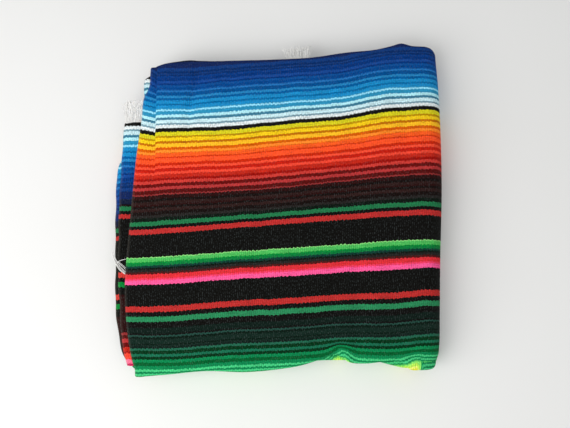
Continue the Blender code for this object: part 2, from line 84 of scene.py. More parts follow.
leftFold = (  # y, x
    (-0.189, -0.176), (-0.120, -0.192), (0.000, -0.197), (0.060, -0.196), (0.110, -0.187),
    (0.145, -0.171), (0.185, -0.160),
)
dropAlongX = (  # x, drop
    (-0.205, 0.0085), (-0.178, 0.0060), (-0.140, 0.0030), (-0.090, 0.0008), (0.000, 0.0),
    (0.110, 0.0005), (0.150, 0.0015), (0.185, 0.0035),
)
dropAlongY = (  # place from the front lip to the back lip, drop
    (0.0, 0.0065), (0.07, 0.0040), (0.20, 0.0010), (0.40, 0.0), (0.70, 0.0006),
    (0.82, 0.0030), (1.0, 0.0110),
)
tuckLine = ((-0.060, -0.1560), (0.030, -0.1500), (0.103, -0.1522), (0.190, -0.1552))  # y, x
tuckAcross = 0.045
tuckHalf = 0.0010
creaseFade = 0.12
creases = (  # across, half width, front end, back end, depth
    (tuckAcross, 0.020, 0.50, 1.00, 0.0016),
    (0.170, 0.025, 0.72, 1.00, 0.0022),
    (0.430, 0.025, 0.10, 0.70, 0.0011),
    (0.770, 0.035, 0.00, 0.45, 0.0020),
)


def smoothStep(value):
    value = np.clip(value, 0.0, 1.0)
    return value * value * (3.0 - 2.0 * value)


def mix(low, high, share):
    return low + (high - low) * share


def along(rows, place):
    xs, ys = np.array(rows, float).T
    place = np.clip(np.asarray(place, float), xs[0], xs[-1])
    slopes = np.empty_like(ys)
    slopes[0] = (ys[1] - ys[0]) / (xs[1] - xs[0])
    slopes[-1] = (ys[-1] - ys[-2]) / (xs[-1] - xs[-2])
    slopes[1:-1] = (ys[2:] - ys[:-2]) / (xs[2:] - xs[:-2])
    i = np.clip(np.searchsorted(xs, place, side="right") - 1, 0, len(xs) - 2)
    run = xs[i + 1] - xs[i]
    s = (place - xs[i]) / run
    s2, s3 = s * s, s ** 3
    return ((2 * s3 - 3 * s2 + 1) * ys[i] + (s3 - 2 * s2 + s) * run * slopes[i]
            + (3 * s2 - 2 * s3) * ys[i + 1] + (s3 - s2) * run * slopes[i + 1])


def creaseDrop(across, place):
    drop = np.zeros(np.broadcast(across, place).shape)
    for centre, halfWidth, front, back, depth in creases:
        fadeIn = smoothStep((place - front) / creaseFade + 0.5)
        fadeOut = smoothStep((back - place) / creaseFade + 0.5)
        drop = drop + depth * smoothStep(1.0 - np.abs(across - centre) / halfWidth) * fadeIn * fadeOut
    return drop


class Column:  # an upright line through the packet at a fraction across it
    def __init__(self, across, nominal=None):
        self.across = across
        self.nominalX = mix(*packet["nominalX"], across) if nominal is None else nominal
        self.frontLip = float(along(frontEdge, self.nominalX)) + packet["lipReach"]
        self.backLip = float(along(backEdge, self.nominalX)) - packet["lipReach"]

    def x(self, y):
        left, right = along(topSelvedge, y), along(rightEdge, y) - packet["spineReach"]
        straight = mix(left, right, self.across)
        recess = packet["recessAt"]
        if self.across >= recess:
            return straight
        tuck = along(tuckLine, y)
        if self.across <= tuckAcross:
            return mix(left, tuck, self.across / tuckAcross)
        return mix(tuck, mix(left, right, recess), (self.across - tuckAcross) / (recess - tuckAcross))

    def height(self, x, y):
        place = np.clip((y - self.frontLip) / (self.backLip - self.frontLip), 0.0, 1.0)
        drop = along(dropAlongX, x) + along(dropAlongY, place)
        return packet["height"] - drop - creaseDrop(self.across, place)


class ToeColumn(Column):  # a column of the lower packs, where they run out under the leaves
    def __init__(self, share):
        super().__init__(packet["recessAt"], mix(*packet["nominalToe"], share))
        self.share = share

    def x(self, y):
        left = along(leftFold, y) + packet["leftFoldReach"]
        return mix(super().x(y) - packet["toeStep"], left, self.share)


def lowerEdges(column):
    front, back = along(lowerFront, column.nominalX), along(lowerBack, column.nominalX)
    return front + packet["lipReach"], back - packet["lipReach"]


def lipCentre(column, side, lowered, inset):
    top = column.frontLip if side < 0 else column.backLip
    bottom = lowerEdges(column)[0 if side < 0 else 1]
    return float(mix(top, bottom, smoothStep(lowered)) - side * inset)


class Station:  # a place on the path that the cloth takes round the packet
    def __init__(self, run, column, turn=0.0):
        self.run = run
        self.column = column
        self.turn = math.radians(turn)
        share = {"top": 0.0, "bottom": 1.0, "left": 1.0, "inner": 1.0}.get(run)
        self.lowered = (1.0 - math.cos(self.turn)) / 2 if share is None else share
        self.outerInset = packet["insetBottomOuter"] * self.lowered
        self.innerInset = mix(packet["insetTopInner"], packet["insetBottomInner"], self.lowered)

    def pack(self, y):
        return self.column.height(self.column.x(y), y) / 4

    def point(self, y, depth, flatY):
        x = self.column.x(flatY)
        height = self.column.height(x, flatY)
        if self.run == "top":
            z = height - depth
        elif self.run == "bottom":
            z = depth
        elif self.run == "inner":
            z = height / 2 - depth
        elif self.run == "spine":
            share = 1.0 - depth / (height / 2)
            x = x + packet["spineReach"] * share * math.sin(self.turn)
            z = height / 2 * (1.0 + share * math.cos(self.turn))
        else:
            share = 1.0 - depth / (height / 4)
            x = x - packet["leftFoldReach"] * share * math.sin(self.turn)
            z = height / 4 * (1.0 - share * math.cos(self.turn))
        return np.stack(np.broadcast_arrays(x, y, z), axis=-1).astype(float)

    def centre(self, side):
        return lipCentre(self.column, side, self.lowered, self.outerInset)


def pathRoundPacket(stepLength):
    recess = packet["recessAt"]
    width = 0.355  # the top, from selvedge to spine
    strip = np.linspace(0.0, tuckAcross - tuckHalf, max(3, round(tuckAcross * width / stepLength)))
    besideSteps = max(3, round((recess - tuckAcross) * width / stepLength))
    beside = np.linspace(tuckAcross + tuckHalf, recess, besideSteps)
    main = np.linspace(recess, 1.0, round((1 - recess) * width / stepLength))
    columns = [Column(a) for a in np.concatenate([strip, beside, main[1:]])]
    kept = [c for c in columns if c.across >= recess - 1e-9]
    toes = [ToeColumn(s) for s in np.linspace(0.0, 1.0, 12)]
    path = [Station("top", c) for c in columns]
    spineSteps = round(math.pi * 0.024 / stepLength)
    path += [Station("spine", columns[-1], 180.0 * i / spineSteps) for i in range(1, spineSteps)]
    path += [Station("bottom", c) for c in kept[::-1]]
    path += [Station("bottom", t) for t in toes]
    leftSteps = max(6, round(math.pi * 0.012 / stepLength))
    path += [Station("left", toes[-1], 180.0 * i / leftSteps) for i in range(1, leftSteps)]
    path += [Station("inner", t) for t in reversed(toes)]
    return path


# the stripes: where they lie on the top, and the weaver's chart
stripeLay = {
    "pick": 0.00061,  # one pick of weft along the warp
    "firstPick": -220,  # the chart starts here
    "homePick": 122,  # the back's first stripe, where the chart's place is 0
    "yToChart": (  # y at the reference column, metres of cloth from the back's first stripe
        (-0.1850, 0.3758), (-0.1122, 0.2977), (-0.0109, 0.1934), (0.1033, 0.0817), (0.1908, 0.0),
    ),
    "driftX": (-0.165, -0.118, -0.058, 0.014, 0.079, 0.132, 0.178),
    "drift": (  # a stripe's y at the reference column, then how far back it runs at each driftX, mm
        (-0.165, (-5.0, -4.5, 0.0, 3.0, 7.5, 7.5, 12.0)),  # lower moss green
        (-0.113, (-5.0, -3.5, 1.5, 5.0, 9.5, 11.0, 15.0)),  # lower red
        (-0.051, (-5.5, -3.5, 1.0, 5.5, 10.0, 14.0, 16.0)),  # light green
        (-0.021, (-5.5, -3.0, 2.0, 7.5, 12.5, 16.5, 18.5)),  # upper red
        (0.023, (-4.0, -1.5, 1.0, 6.5, 13.5, 19.0, 23.0)),  # last dusty red line
        (0.103, (-2.0, -2.0, 0.0, 7.5, 13.0, 23.0, 27.5)),  # black line under the white
        (0.131, (-3.0, -5.0, -0.5, 5.0, 10.5, 22.0, 25.0)),  # pale blue line
    ),
    "tuckShift": 0.0045,
    "pleatFrom": 0.160,  # right of this x the front fold doubles back at pleatChart
    "pleatRun": 0.010,
    "pleatChart": 0.3825,
    "pinches": (  # x, reach to the left and right, how far the stripes are drawn back, y, run
        (0.0720, 0.0100, 0.0120, 0.0150, -0.150, 0.020), (0.160, 0.0110, 0.0090, 0.0060, -0.162, 0.014),
    ),
}


def driftAt(x, y):
    columns = [along(tuple(zip(stripeLay["driftX"], row)), x) / 1000 for _, row in stripeLay["drift"]]
    ys = [y0 for y0, _ in stripeLay["drift"]]
    y = np.clip(y, ys[0], ys[-1])
    result = np.zeros(np.broadcast(x, y).shape)
    for i in range(len(ys) - 1):
        inside = (y >= ys[i]) & (y <= ys[i + 1])
        share = (y - ys[i]) / (ys[i + 1] - ys[i])
        result = np.where(inside, mix(columns[i], columns[i + 1], share), result)
    return result


def chartAt(x, y):
    home = y  # the stripe's y at the reference column, found in a few rounds
    for _ in range(4):
        home = y - driftAt(x, home)
    drift = y - home
    line, selvedge = along(tuckLine, y), along(topSelvedge, y)
    strip = np.clip((x - selvedge) / (line - selvedge), 0.0, 1.0) * (x < line)
    fade = smoothStep((y - 0.020) / 0.085)
    drift = drift - stripeLay["tuckShift"] * strip * fade
    xs, ys = np.array(stripeLay["yToChart"]).T
    s = y - drift
    chart = np.interp(s, xs, ys)
    chart = np.where(s < xs[0], ys[0] + (xs[0] - s) * 1.07, chart)
    chart = np.where(s > xs[-1], ys[-1] - (s - xs[-1]) * 0.93, chart)
    for x0, left, right, shift, fromY, run in stripeLay["pinches"]:
        beside = (x - x0) / np.where(x < x0, left, right)
        chart = chart + shift * np.exp(-beside ** 2) * smoothStep((fromY - y) / run)
    return chart


# a weaver's chart: picks and yarn, from the hidden back end of the cloth to its front fold
yarns = {
    "black": "0e0d0b", "ink": "160c0a", "blackGreen": "0a160e", "char": "24211f",
    # the first navy on the next line is the navy yarn darkened with painted shade, for where the cloth rolls under
    # at the back edge
    "rollShadeNavy": "12265a", "navyBlue": "103a7c", "deepNavy": "042c66", "royal": "083c86", "royalDark": "02347a",
    "royalLight": "164894", "mid": "0a5098", "midDark": "00458c", "line": "2272b8", "deepBlue": "004f90",
    "azureLine": "2484c0", "blue": "005c9c", "azure": "1a8cc8", "azureDark": "046ca6", "tealAzure": "2c92bc",
    "sky": "96e0fa", "aqua": "b4ecf6", "teal": "3c7d98", "ice": "ccecf2", "greyTeal": "7298a6", "white": "e4ecec",
    "lime": "dad01e", "ochre": "be8c00", "gold": "f6ce18", "rust": "c46e00", "amber": "fec024", "orange": "da5c00",
    "lightOrange": "ff8e2a", "redOrange": "ea6010", "vermilion": "fa5c20", "brick": "d23206", "tomato": "fe5426",
    "scarlet": "ca2606", "coral": "f64e32", "crimson": "c21c0c", "rose": "f04832", "red": "c02616",
    "deepRed": "9a0e06", "cherry": "cc3a32", "maroon": "660a08", "dustyRed": "b43434", "wine": "540c0a",
    "dusty": "902e2e", "darkWine": "2a0d0c", "brown": "2e1a18", "brownRed": "4c1614",
    "accentGreen": "207446", "accentRed": "b82c2a", "freshGreen": "8cd87c", "lightGreen": "4cb858",
    "green": "008434", "fern": "0a7a3a", "darkGreen": "0a3a30", "pinkRed": "f03c62", "pink": "fa5896",
    "lowGreen": "288252", "forest": "0c1c16", "forestLine": "11261e", "mutedGreen": "206048",
    "bottle": "003014", "mossGreen": "16684a", "leafGreen": "08804a", "deepGreen": "005a2a",
    "brightGreen": "44c47c", "springGreen": "8ae468", "yellowGreen": "b8ec58", "paleYellow": "e8ec70",
    "yellow": "e0e032", "magentaRed": "c8285a", "palePink": "f87896", "forestMist": "20443a",
    "nightGreen": "06180f", "meadowGreen": "46b45c", "nightNavy": "121c36", "cherryRed": "dc2e36",
}
chart = (
    (6, "pink"), (7, "magentaRed"), (8, "palePink"), (11, "rose"), (3, "deepRed"), (9, "red"),
    (8, "maroon"), (7, "dustyRed"), (7, "wine"), (5, "dusty"), (20, "darkWine"), (4, "brown"),
    (47, "darkWine"), (14, "black"),
    (10, "green"), (8, "black"), (10, "cherry"), (106, "black"), (9, "accentRed"), (7, "black"),
    # the picks that wrap round the back roll are navy yarn darkened with painted shade
    (8, "accentGreen"), (5, "ink"), (9, "nightNavy"), (10, "rollShadeNavy"),
    (5, "rollShadeNavy"), (7, "navyBlue"), (4, "deepNavy"), (3, "navyBlue"), (3, "deepNavy"), (5, "royal"),
    (6, "royalDark"), (5, "royalLight"), (4, "royalDark"), (4, "mid"), (5, "midDark"), (2, "mid"),
    (4, "line"), (7, "deepBlue"), (5, "azureLine"), (5, "blue"), (7, "azure"), (4, "azureDark"),
    (6, "azure"), (2, "tealAzure"), (4, "sky"), (8, "tealAzure"), (6, "aqua"), (6, "teal"), (7, "ice"),
    (4, "greyTeal"), (7, "white"), (8, "black"), (8, "lime"), (4, "ochre"), (7, "gold"), (5, "rust"),
    (7, "amber"), (6, "orange"), (5, "lightOrange"), (2, "redOrange"), (6, "vermilion"), (3, "brick"),
    (9, "tomato"), (6, "scarlet"), (5, "coral"), (7, "crimson"), (5, "rose"), (7, "red"), (5, "deepRed"),
    (6, "cherry"), (7, "maroon"), (6, "dustyRed"), (7, "wine"), (3, "dusty"), (7, "darkWine"), (5, "ink"),
    (5, "brown"), (3, "darkWine"), (4, "ink"), (6, "brown"), (7, "ink"), (5, "char"), (7, "blackGreen"),
    (8, "accentGreen"), (7, "black"), (10, "accentRed"), (46, "black"), (2, "freshGreen"),
    (7, "lightGreen"), (4, "green"), (4, "fern"), (4, "darkGreen"), (4, "blackGreen"), (5, "char"),
    (4, "brownRed"), (9, "cherryRed"), (3, "pinkRed"), (9, "pink"), (43, "black"), (11, "accentRed"),
    (9, "black"), (11, "lowGreen"), (12, "black"), (11, "forest"), (3, "black"), (4, "forestMist"),
    (4, "nightGreen"), (9, "forestLine"), (3, "nightGreen"), (3, "forestLine"), (4, "forest"),
    (4, "mutedGreen"), (7, "bottle"), (5, "mossGreen"), (6, "bottle"), (6, "leafGreen"), (7, "deepGreen"),
    (7, "leafGreen"), (4, "brightGreen"), (5, "leafGreen"), (4, "brightGreen"), (3, "leafGreen"),
    (2, "meadowGreen"),
    (4, "springGreen"), (6, "yellowGreen"), (5, "paleYellow"), (9, "yellow"), (2, "ochre"), (8, "yellow"),
    (8, "black"), (7, "white"), (3, "greyTeal"), (7, "ice"), (6, "teal"), (5, "aqua"), (8, "tealAzure"),
    (4, "sky"), (6, "tealAzure"), (4, "azureDark"), (7, "azure"), (6, "blue"), (20, "mid"), (30, "royal"),
)


def colourOf(hexText):
    parts = [int(hexText[i:i + 2], 16) / 255 for i in (0, 2, 4)]
    return [p / 12.92 if p <= 0.04045 else ((p + 0.055) / 1.055) ** 2.4 for p in parts]


# node helpers
def newMaterial(name):
    material = bpy.data.materials.new(name)
    material.use_nodes = True
    nodes, links = material.node_tree.nodes, material.node_tree.links
    return material, nodes, links, nodes["Principled BSDF"]


def maths(nodes, links, operation, *values):
    node = nodes.new("ShaderNodeMath")
    node.operation = operation
    for socket, value in zip(node.inputs, values):
        if hasattr(value, "is_output"):
            links.new(value, socket)
        else:
            socket.default_value = value
    return node.outputs[0]


def mixColour(nodes, links, factor, first, second, blend="MIX"):
    node = nodes.new("ShaderNodeMix")
    node.data_type = "RGBA"
    node.blend_type = blend
    for index, value in ((0, factor), (6, first), (7, second)):
        if hasattr(value, "is_output"):
            links.new(value, node.inputs[index])
        else:
            node.inputs[index].default_value = value
    return node.outputs[2]


def noiseAt(nodes, links, u, v, scaleU, scaleV, detail=2.0):
    place = nodes.new("ShaderNodeCombineXYZ")
    links.new(maths(nodes, links, "MULTIPLY", u, scaleU), place.inputs[0])
    links.new(maths(nodes, links, "MULTIPLY", v, scaleV), place.inputs[1])
    node = nodes.new("ShaderNodeTexNoise")
    node.noise_dimensions = "2D"
    node.inputs["Scale"].default_value = 1.0
    node.inputs["Detail"].default_value = detail
    links.new(place.outputs[0], node.inputs["Vector"])
    return node.outputs["Fac"]


weave = {
    "ribPitch": 0.00242,
    "toothHeight": 0.00027,
    "pickPitch": 0.00122,
    "wander": 0.0008,
    "fray": 0.0009,
    "heather": 0.50,
    "speckle": 0.45,
    "ribShade": 0.24,
    "pickShade": 0.20,
    "warpShow": 0.20,
    "warpColour": (0.15, 0.18, 0.18, 1.0),
    "selvedgeShow": 0.10,
    "selvedgeColour": (0.20, 0.18, 0.15, 1.0),
    "gain": 1.02,
    "bump": 0.0006,
}


def stripeColour(nodes, links, v):
    starts, colours, at = [], [], stripeLay["firstPick"] - stripeLay["homePick"]
    for picks, yarn in chart:
        starts.append(at * stripeLay["pick"])
        colours.append(colourOf(yarns[yarn]))
        at += picks
    ends = starts[1:] + [at * stripeLay["pick"]]
    result = None
    for first in range(0, len(starts), 30):
        last = min(first + 30, len(starts)) - 1
        low, high = starts[first], ends[last]
        ramp = nodes.new("ShaderNodeValToRGB")
        ramp.color_ramp.interpolation = "CONSTANT"
        elements = ramp.color_ramp.elements
        while len(elements) < last - first + 1:
            elements.new(0.5)
        for element, i in zip(elements, range(first, last + 1)):
            element.position = (starts[i] - low) / (high - low)
        for element, i in zip(elements, range(first, last + 1)):
            element.color = (*colours[i], 1.0)
        place = maths(nodes, links, "DIVIDE", maths(nodes, links, "SUBTRACT", v, low), high - low)
        links.new(place, ramp.inputs[0])
        if result is None:
            result = ramp.outputs[0]
        else:
            past = maths(nodes, links, "GREATER_THAN", v, low)
            result = mixColour(nodes, links, past, result, ramp.outputs[0])
    return result


def makeSerapeWeave():
    material, nodes, links, shader = newMaterial("serapeWeave")
    uvNode = nodes.new("ShaderNodeUVMap")
    uvNode.uv_map = "UVMap"
    split = nodes.new("ShaderNodeSeparateXYZ")
    links.new(uvNode.outputs[0], split.inputs[0])
    u, v = split.outputs[0], split.outputs[1]
    ribPhase = maths(nodes, links, "MULTIPLY", u, math.pi / weave["ribPitch"])
    wave = maths(nodes, links, "SINE", ribPhase)
    rib = maths(nodes, links, "ABSOLUTE", wave)

    # stripe edges step from one rib to the next, with some yarn astray
    tooth = nodes.new("ShaderNodeClamp")
    tooth.inputs["Min"].default_value = -1.0
    links.new(maths(nodes, links, "MULTIPLY", wave, 1.8), tooth.inputs[0])
    tooth = maths(nodes, links, "MULTIPLY", tooth.outputs[0], weave["toothHeight"])
    wander = noiseAt(nodes, links, u, v, 55, 20, 1.0)
    fray = noiseAt(nodes, links, u, v, 620, 300, 1.0)
    wander = maths(nodes, links, "MULTIPLY", maths(nodes, links, "SUBTRACT", wander, 0.5), 2 * weave["wander"])
    fray = maths(nodes, links, "MULTIPLY", maths(nodes, links, "SUBTRACT", fray, 0.5), 2 * weave["fray"])
    shifted = maths(nodes, links, "ADD", v, tooth)
    shifted = maths(nodes, links, "ADD", shifted, wander)
    shifted = maths(nodes, links, "ADD", shifted, fray)
    colour = stripeColour(nodes, links, shifted)

    # picks, staggered from rib to rib
    parity = maths(nodes, links, "MODULO", maths(nodes, links, "FLOOR",
                   maths(nodes, links, "DIVIDE", u, weave["ribPitch"])), 2.0)
    pickPhase = maths(nodes, links, "ADD", maths(nodes, links, "DIVIDE", v, weave["pickPitch"]),
                      maths(nodes, links, "MULTIPLY", parity, 0.5))
    pick = maths(nodes, links, "ABSOLUTE", maths(nodes, links, "SINE",
                 maths(nodes, links, "MULTIPLY", pickPhase, math.pi)))

    # yarn shades along each pick, finer speckle, and the shade between ribs and picks
    heather = noiseAt(nodes, links, u, v, 60, 1500, 2.0)
    speckle = noiseAt(nodes, links, u, v, 520, 620, 3.0)
    tone = maths(nodes, links, "MULTIPLY", maths(nodes, links, "SUBTRACT", heather, 0.5), 2 * weave["heather"])
    fine = maths(nodes, links, "MULTIPLY", maths(nodes, links, "SUBTRACT", speckle, 0.5), 2 * weave["speckle"])
    tone = maths(nodes, links, "ADD", maths(nodes, links, "ADD", tone, fine), weave["gain"])
    for relief, depth in ((rib, "ribShade"), (pick, "pickShade")):
        shade = maths(nodes, links, "MULTIPLY", maths(nodes, links, "SUBTRACT", relief, 0.64), weave[depth])
        tone = maths(nodes, links, "MULTIPLY", tone, maths(nodes, links, "ADD", shade, 1.0))
    grey = nodes.new("ShaderNodeCombineColor")
    for socket in grey.inputs[:3]:
        links.new(tone, socket)
    colour = mixColour(nodes, links, 1.0, colour, grey.outputs[0], "MULTIPLY")

    # the pale warp shows here and there between ribs
    valley = maths(nodes, links, "SUBTRACT", 1.0, rib)
    streak = noiseAt(nodes, links, u, v, 800, 420, 2.0)
    streak = maths(nodes, links, "MULTIPLY", maths(nodes, links, "SUBTRACT", streak, 0.50), 7.0)
    show = nodes.new("ShaderNodeClamp")
    links.new(maths(nodes, links, "MULTIPLY", streak, valley), show.inputs[0])
    show = maths(nodes, links, "MULTIPLY", show.outputs[0], weave["warpShow"])
    colour = mixColour(nodes, links, show, colour, weave["warpColour"], "LIGHTEN")

    # the selvedge is a little paler
    edge = nodes.new("ShaderNodeMapRange")
    edge.interpolation_type = "SMOOTHSTEP"
    edge.inputs["From Min"].default_value = 0.0030
    edge.inputs["From Max"].default_value = 0.0005
    edge.inputs["To Max"].default_value = weave["selvedgeShow"]
    links.new(u, edge.inputs["Value"])
    colour = mixColour(nodes, links, edge.outputs[0], colour, weave["selvedgeColour"])
    links.new(colour, shader.inputs["Base Color"])

    # ribs and picks in the bump
    relief = maths(nodes, links, "MULTIPLY", rib, maths(nodes, links, "ADD",
                   maths(nodes, links, "MULTIPLY", pick, 0.45), 0.55))
    relief = maths(nodes, links, "ADD", relief, maths(nodes, links, "MULTIPLY", speckle, 0.8))
    bump = nodes.new("ShaderNodeBump")
    bump.inputs["Strength"].default_value = 0.7
    bump.inputs["Distance"].default_value = weave["bump"]
    links.new(relief, bump.inputs["Height"])
    links.new(bump.outputs[0], shader.inputs["Normal"])
    rough = maths(nodes, links, "ADD", maths(nodes, links, "MULTIPLY", speckle, 0.15), 0.82)
    links.new(rough, shader.inputs["Roughness"])
    shader.inputs["Specular IOR Level"].default_value = 0.04
    shader.inputs["Sheen Weight"].default_value = 0.01
    shader.inputs["Sheen Roughness"].default_value = 0.5
    return material


# mesh helpers
def gridFaces(rows, columns, offset=0):
    index = np.arange(rows * columns).reshape(rows, columns) + offset
    return np.stack([index[:-1, :-1], index[:-1, 1:], index[1:, 1:], index[1:, :-1]], -1).reshape(-1, 4)


def linkMesh(name, points, faces, uvs, material):
    mesh = bpy.data.meshes.new(name)
    mesh.from_pydata((points - (*packet["centre"], 0.0)).tolist(), [], faces.tolist())
    layer = mesh.uv_layers.new(name="UVMap")
    loops = np.empty(len(mesh.loops), np.int32)
    mesh.loops.foreach_get("vertex_index", loops)
    layer.data.foreach_set("uv", np.asarray(uvs, np.float32)[loops].ravel())
    mesh.shade_smooth()
    mesh.materials.append(material)
    piece = bpy.data.objects.new(name, mesh)
    bpy.context.scene.collection.objects.link(piece)
    return piece


def rimLoop(rows, columns):  # the grid's edge, once round
    loop = [(0, j) for j in range(columns)] + [(i, columns - 1) for i in range(1, rows)]
    loop += [(rows - 1, j) for j in range(columns - 2, -1, -1)] + [(i, 0) for i in range(rows - 2, 0, -1)]
    return np.array(loop)


def closedSheet(name, outer, inner, uv, material):  # two faces of cloth, joined by a rounded rim
    rows, columns = outer.shape[:2]
    loop = rimLoop(rows, columns)
    step = np.zeros_like(loop)
    step[loop[:, 0] == 0, 0] = -1
    step[loop[:, 0] == rows - 1, 0] = 1
    step[loop[:, 1] == 0, 1] = -1
    step[loop[:, 1] == columns - 1, 1] = 1
    edgeOut = outer[loop[:, 0], loop[:, 1]]
    edgeIn = inner[loop[:, 0], loop[:, 1]]
    out = edgeOut - outer[loop[:, 0] - step[:, 0], loop[:, 1] - step[:, 1]]
    out /= np.maximum(np.linalg.norm(out, axis=1, keepdims=True), 1e-9)
    half = np.linalg.norm(edgeOut - edgeIn, axis=1, keepdims=True) / 2
    ring = (edgeOut + edgeIn) / 2 + out * half * 0.9

    count = rows * columns
    outerFaces = gridFaces(rows, columns)
    innerFaces = gridFaces(rows, columns, count)[:, ::-1]
    p = loop[:, 0] * columns + loop[:, 1]
    r = 2 * count + np.arange(len(loop))
    pNext, rNext = np.roll(p, -1), np.roll(r, -1)
    rim = [np.stack([pNext, p, r, rNext], 1), np.stack([rNext, r, p + count, pNext + count], 1)]
    faces = np.vstack([outerFaces, innerFaces, *rim])
    points = np.vstack([outer.reshape(-1, 3), inner.reshape(-1, 3), ring])
    sheetUv = uv.reshape(-1, 2)
    uvs = np.vstack([sheetUv, sheetUv, sheetUv[p]])
    corners = points[faces]
    crosses = np.cross(corners[:, 1] - corners[:, 0], corners[:, 3] - corners[:, 0])
    if np.einsum("ij,ij->", corners.mean(axis=1), crosses) < 0:
        faces = faces[:, ::-1]
    return linkMesh(name, points, faces, uvs, material)


def joinedPatches(name, patches, material):  # patches that meet edge to edge, as one closed body
    points, faces, uvs, offset = [], [], [], 0
    for grid, uv in patches:
        faces.append(gridFaces(*grid.shape[:2], offset))
        points.append(grid.reshape(-1, 3))
        uvs.append(uv.reshape(-1, 2))
        offset += grid.shape[0] * grid.shape[1]
    piece = linkMesh(name, np.vstack(points), np.vstack(faces), np.vstack(uvs), material)
    body = bmesh.new()
    body.from_mesh(piece.data)
    bmesh.ops.remove_doubles(body, verts=body.verts, dist=1e-6)
    bmesh.ops.dissolve_degenerate(body, edges=body.edges, dist=1e-7)
    bmesh.ops.recalc_face_normals(body, faces=body.faces)
    body.to_mesh(piece.data)
    body.free()
    return piece


def arcLength(points, axis):
    steps = np.linalg.norm(np.diff(points, axis=axis), axis=-1)
    start = np.zeros_like(np.take(steps, [0], axis=axis))
    return np.concatenate([start, np.cumsum(steps, axis=axis)], axis=axis)


# the outer cloth: over the top, round the spine, along the underside and into the packet again
outerCloth = {
    "topStep": 0.0033,
    "depthSteps": 124,
    "lipAngles": tuple(range(0, 169, 12)),
    "taperRows": 3,
    "taperWidth": 0.006,
    "taper": 0.0007,
}
ridges = (  # x, y, heading in degrees, half length, half width, height, all in metres
    (-0.060, 0.150, 84, 0.060, 0.0100, -0.0009),
    (0.030, 0.120, 96, 0.070, 0.0120, 0.0008),
    (0.064, -0.100, 80, 0.080, 0.0110, -0.0012),
    (0.118, -0.110, 93, 0.060, 0.0130, 0.0010),
    (0.150, 0.160, 100, 0.060, 0.0100, -0.0012),
    (-0.110, -0.090, 88, 0.090, 0.0140, 0.0007),
    (-0.020, -0.020, 92, 0.110, 0.0160, -0.0006),
    (0.165, -0.020, 88, 0.120, 0.0120, 0.0009),
    (0.090, 0.040, 97, 0.070, 0.0150, -0.0006),
)


def foldRelief(x, y):  # soft ridges and troughs, placed as listed
    relief = np.zeros(np.broadcast(x, y).shape)
    for x0, y0, heading, halfLength, halfWidth, height in ridges:
        turn = math.radians(heading)
        lengthwise = (x - x0) * math.cos(turn) + (y - y0) * math.sin(turn)
        beside = (y - y0) * math.cos(turn) - (x - x0) * math.sin(turn)
        beside = beside + 0.004 * np.sin(lengthwise / 0.035)
        relief = relief + height * np.exp(-(lengthwise / halfLength) ** 2 - (beside / halfWidth) ** 2)
    # the cloth's own gentle unevenness
    relief = relief + 0.00028 * np.sin(x / 0.0081 + 2.2 * np.sin(y / 0.037)) * np.sin(y / 0.021 + 1.3)
    return relief + 0.00050 * np.sin(x / 0.027 + 1.5 * np.sin(y / 0.061)) * np.cos(y / 0.045)


def sectionOf(station, depth, places, angles):
    front, back = station.centre(-1), station.centre(1)
    y = mix(front, back, places)
    flat = station.point(y, depth, y)
    turns = np.radians(angles[1:])
    parts = [flat]
    for side, centre in ((-1, front), (1, back)):
        radius = station.pack(centre) / 2
        inward = radius - (radius - depth) * np.cos(turns)
        reach = side * (packet["lipReach"] - depth) * np.sin(turns)
        lip = station.point(centre + reach, inward, centre)
        parts = [lip[::-1]] + parts if side < 0 else parts + [lip]
    return np.vstack(parts)


def chartAlong(station, grid, places, angles):  # the chart's place at each point of a section
    front, back = station.centre(-1), station.centre(1)
    y = mix(front, back, places)
    flat = chartAt(station.column.x(y), y)
    lips = len(angles) - 1
    frontLip = flat[0] + arcLength(grid[lips::-1], 0)[1:]
    backLip = flat[-1] - arcLength(grid[-lips - 1:], 0)[1:]
    chartPlace = np.concatenate([frontLip[::-1], flat, backLip])
    right = smoothStep((grid[:, 0] - stripeLay["pleatFrom"]) / stripeLay["pleatRun"])
    return chartPlace - 2 * right * np.maximum(chartPlace - stripeLay["pleatChart"], 0.0)


def makeOuterCloth(material):
    path = pathRoundPacket(outerCloth["topStep"])
    places = (1 - np.cos(np.linspace(0, math.pi, outerCloth["depthSteps"]))) / 2
    places = mix(np.linspace(0, 1, outerCloth["depthSteps"]), places, 0.35)
    angles = outerCloth["lipAngles"]
    outer = np.array([sectionOf(s, 0.0, places, angles) for s in path])
    inner = np.array([sectionOf(s, packet["wall"], places, angles) for s in path])
    chartPlace = np.array([chartAlong(s, row, places, angles) for s, row in zip(path, outer)])
    uv = np.stack([arcLength(outer, 0), chartPlace], -1)
    lifts = foldRelief(outer[..., 0], outer[..., 1])
    for row, station in enumerate(path):
        share = {"top": 1.0, "spine": max(0.0, math.cos(station.turn))}.get(station.run, 0.0)
        if share:
            level = np.clip((outer[row, :, 2] - 0.030) / 0.014, 0.0, 1.0)
            rise = (lifts[row] + 0.0008) * share * smoothStep(level)
            outer[row, :, 2] += rise
            inner[row, :, 2] += rise
    for row in range(outerCloth["taperRows"]):
        thin = 1 - smoothStep(float(uv[row, :, 0].mean()) / outerCloth["taperWidth"])
        outer[row, :, 2] -= outerCloth["taper"] * thin
        inner[row, :, 2] += outerCloth["taper"] * thin / 3
    piece = closedSheet("outerCloth", outer, inner, uv, material)
    wide = float(arcLength(outer, 0)[-1].mean())
    deep = float(arcLength(outer, 1)[:, -1].mean())
    return piece, (wide, deep)


# the hidden layers: inner packs, whose rolled edges show at the front and back
innerPacks = {
    "under": packet["wall"] + packet["gap"],
    "stationStep": 0.0055,
    "depthSteps": 40,
    "lipAngles": (0, 20, 40, 60, 80, 100, 125, 150),
    "innerAngles": (15, 28, 42, 56, 70, 84, 98, 112, 126, 140, 152, 165),
}


